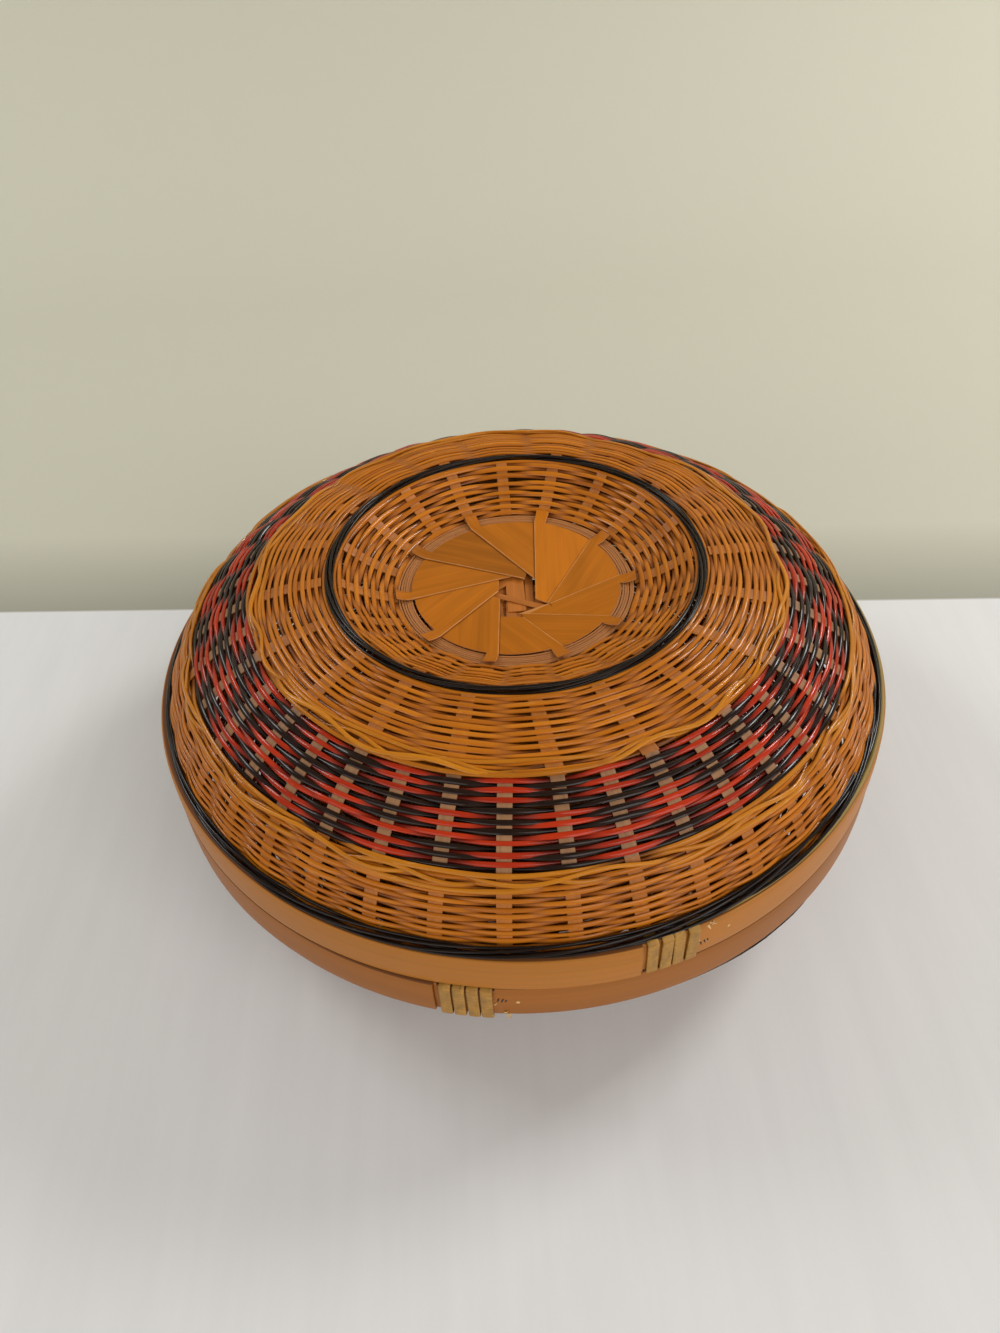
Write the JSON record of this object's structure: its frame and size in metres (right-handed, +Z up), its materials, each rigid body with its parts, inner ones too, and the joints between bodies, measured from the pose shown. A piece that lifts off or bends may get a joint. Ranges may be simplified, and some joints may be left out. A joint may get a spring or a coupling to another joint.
{
  "type": "woven round box",
  "caption": "Round lidded box woven of cane on bamboo stakes, with bent bamboo rim hoops, a checked band and a sunken medallion; the lid lifts off.",
  "frame": {"origin": "on the floor under the middle of the foot ring", "axes": "+Z up through the middle of the lid, -Y towards the front with the cane wraps"},
  "size_m": [0.2494, 0.2502, 0.1066],
  "materials": {
    "natural_cane": "varnished split cane woven over flat stakes, orange tan",
    "checked_cane": "varnished cane dyed red and black, woven in checks",
    "black_cane": "varnished black dyed cane, twined",
    "bamboo_hoop": "satin bent bamboo strip with lengthwise grain",
    "bamboo_blade": "varnished thin split bamboo",
    "wrap_cane": "olive yellow cane skin with dark specks"
  },
  "bodies": {
    "base": {"base_outer_hoop": "bamboo_hoop", "base_inner_hoop": "bamboo_hoop", "base_side_band": "natural_cane", "base_outer_band": "natural_cane", "base_check_band": "checked_cane", "base_shoulder_band": "natural_cane", "base_well_band": "natural_cane", "base_rim_wale": "black_cane", "base_crest_wale": "black_cane", "base_splint_ring": "natural_cane", "base_blade_01": "bamboo_blade", "base_blade_02": "bamboo_blade", "base_blade_03": "bamboo_blade", "base_blade_04": "bamboo_blade", "base_blade_05": "bamboo_blade", "base_blade_06": "bamboo_blade", "base_blade_07": "bamboo_blade", "base_blade_08": "bamboo_blade", "base_blade_09": "bamboo_blade", "base_blade_10": "bamboo_blade", "base_centre_strip_1": "bamboo_blade", "base_centre_strip_2": "bamboo_blade", "base_rim_wrap_1": "wrap_cane", "base_rim_wrap_2": "wrap_cane", "base_rim_wrap_3": "wrap_cane", "base_rim_wrap_4": "wrap_cane", "base_lap_peg": "bamboo_hoop", "base_collar": "bamboo_hoop"},
    "lid": {"lid_outer_hoop": "bamboo_hoop", "lid_inner_hoop": "bamboo_hoop", "lid_side_band": "natural_cane", "lid_outer_band": "natural_cane", "lid_check_band": "checked_cane", "lid_shoulder_band": "natural_cane", "lid_well_band": "natural_cane", "lid_rim_wale": "black_cane", "lid_crest_wale": "black_cane", "lid_splint_ring": "natural_cane", "lid_blade_01": "bamboo_blade", "lid_blade_02": "bamboo_blade", "lid_blade_03": "bamboo_blade", "lid_blade_04": "bamboo_blade", "lid_blade_05": "bamboo_blade", "lid_blade_06": "bamboo_blade", "lid_blade_07": "bamboo_blade", "lid_blade_08": "bamboo_blade", "lid_blade_09": "bamboo_blade", "lid_blade_10": "bamboo_blade", "lid_centre_strip_1": "bamboo_blade", "lid_centre_strip_2": "bamboo_blade", "lid_rim_wrap_1": "wrap_cane", "lid_rim_wrap_2": "wrap_cane", "lid_rim_wrap_3": "wrap_cane", "lid_rim_wrap_4": "wrap_cane", "lid_lap_peg": "bamboo_hoop"}
  },
  "joints": [
    {"name": "lid_lift", "type": "slide", "parent": "base", "child": "lid", "axis": [0, 0, 1], "range_m": [0, 0.12]}
  ]
}
